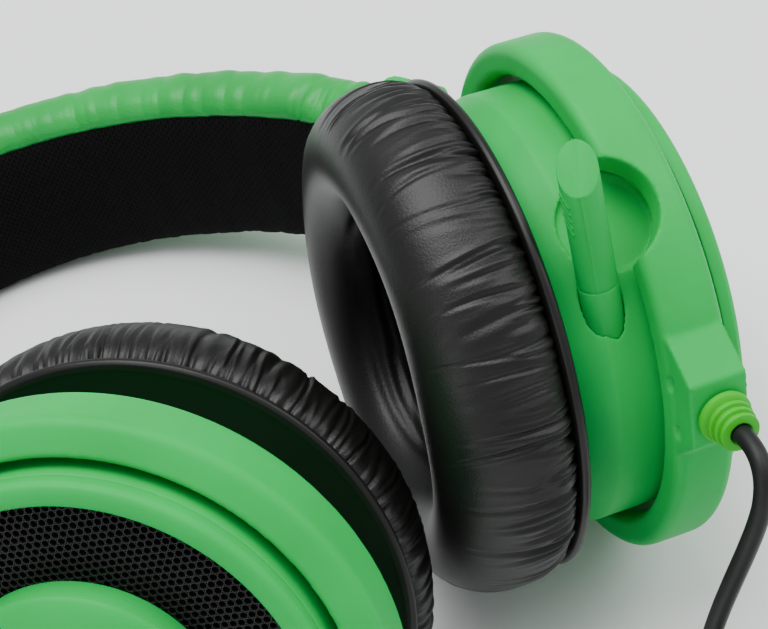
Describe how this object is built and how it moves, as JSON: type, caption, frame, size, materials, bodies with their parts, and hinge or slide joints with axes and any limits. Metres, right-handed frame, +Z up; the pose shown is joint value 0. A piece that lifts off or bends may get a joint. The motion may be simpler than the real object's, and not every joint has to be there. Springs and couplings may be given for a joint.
{
  "type": "over-ear headset",
  "caption": "Folding over-ear headset with padded headband, round ring-hung ear cups, a pull-out boom microphone and a corded plug.",
  "frame": {"origin": "centre of the bottom of the headset lying on its back, at the level of the surface", "axes": "+X towards the wearer's left, +Y towards the crown of the headband, +Z up, towards the wearer's front"},
  "size_m": [0.1711, 0.2776, 0.1001],
  "materials": {
    "green_plastic": "satin",
    "green_leatherette": "satin",
    "black_leatherette": "satin",
    "black_mesh": "matte",
    "black_plastic": "satin",
    "spring_steel": "brushed",
    "grille_mesh": "satin",
    "relief_rubber": "satin",
    "cord_jacket": "satin",
    "gold_contact": "polished",
    "membrane": "satin",
    "circuit": "satin",
    "acoustic_cloth": "matte"
  },
  "bodies": {
    "headband": {"spring_band": "spring_steel", "band_cover": "green_leatherette", "band_pad": "black_mesh", "housing_left": "green_plastic", "housing_right": "green_plastic", "housing_screws": "spring_steel"},
    "arm_left": {"slider_left": "spring_steel", "fork_left": "green_plastic", "fold_pin_left": "spring_steel"},
    "hinge_left": {"knuckle_left": "green_plastic"},
    "ring_left": {"yoke_ring_left": "green_plastic", "tilt_pins_left": "spring_steel", "strain_relief": "relief_rubber", "cable": "cord_jacket", "cable_coil": "cord_jacket", "cable_tail": "cord_jacket", "cable_tie": "black_plastic", "plug_body": "black_plastic", "plug_contact": "gold_contact"},
    "cup_left": {"drum_left": "green_plastic", "bezel_left": "green_plastic", "grille_left": "grille_mesh", "centre_disc_left": "green_plastic", "flange_left": "black_plastic", "cushion_left": "black_leatherette", "baffle_left": "black_plastic", "baffle_screws_left": "spring_steel", "basket_left": "spring_steel", "magnet_left": "spring_steel", "diaphragm_left": "membrane", "ear_cloth_left": "acoustic_cloth", "circuit_board": "circuit", "mic_bush": "black_plastic"},
    "arm_right": {"slider_right": "spring_steel", "fork_right": "green_plastic", "fold_pin_right": "spring_steel"},
    "hinge_right": {"knuckle_right": "green_plastic"},
    "ring_right": {"yoke_ring_right": "green_plastic", "tilt_pins_right": "spring_steel"},
    "cup_right": {"drum_right": "green_plastic", "bezel_right": "green_plastic", "grille_right": "grille_mesh", "centre_disc_right": "green_plastic", "flange_right": "black_plastic", "cushion_right": "black_leatherette", "baffle_right": "black_plastic", "baffle_screws_right": "spring_steel", "basket_right": "spring_steel", "magnet_right": "spring_steel", "diaphragm_right": "membrane", "ear_cloth_right": "acoustic_cloth"},
    "microphone": {"mic_head": "green_plastic", "mic_boom": "green_plastic", "mic_capsule": "spring_steel", "mic_stop": "black_plastic"}
  },
  "joints": [
    {"name": "adjust_left", "type": "slide", "parent": "headband", "child": "arm_left", "axis": [0.1542, -0.9697, 0.1895], "range_m": [0, 0.018]},
    {"name": "fold_left", "type": "hinge", "parent": "arm_left", "child": "hinge_left", "pos_m": [0.07597, -0.0093, 0.03485], "axis": [0.0751, 0.2028, 0.9763], "range_deg": [0, 28.7]},
    {"name": "swivel_left", "type": "hinge", "parent": "hinge_left", "child": "ring_left", "pos_m": [0.0551, -0.05772, 0.04651], "axis": [-0.3865, -0.8966, 0.216], "range_deg": [-6, 24]},
    {"name": "tilt_left", "type": "hinge", "parent": "ring_left", "child": "cup_left", "pos_m": [0.05893, -0.05954, 0.0458], "axis": [0.2383, 0.1291, 0.9626], "range_deg": [-4, 4]},
    {"name": "adjust_right", "type": "slide", "parent": "headband", "child": "arm_right", "axis": [-0.1234, -0.9697, 0.2109], "range_m": [0, 0.018]},
    {"name": "fold_right", "type": "hinge", "parent": "arm_right", "child": "hinge_right", "pos_m": [-0.07877, -0.0093, 0.04675], "axis": [-0.0751, -0.2028, -0.9763], "range_deg": [0, 43.4]},
    {"name": "swivel_right", "type": "hinge", "parent": "hinge_right", "child": "ring_right", "pos_m": [-0.04467, -0.05074, 0.05274], "axis": [-0.6315, 0.7674, -0.1108], "range_deg": [-28, 2]},
    {"name": "tilt_right", "type": "hinge", "parent": "ring_right", "child": "cup_right", "pos_m": [-0.04778, -0.05303, 0.05462], "axis": [-0.2774, -0.357, -0.892], "range_deg": [-4, 4]},
    {"name": "mic_pull", "type": "slide", "parent": "cup_left", "child": "microphone", "axis": [0.1597, 0.1656, 0.9732], "range_m": [0, 0.017]}
  ]
}
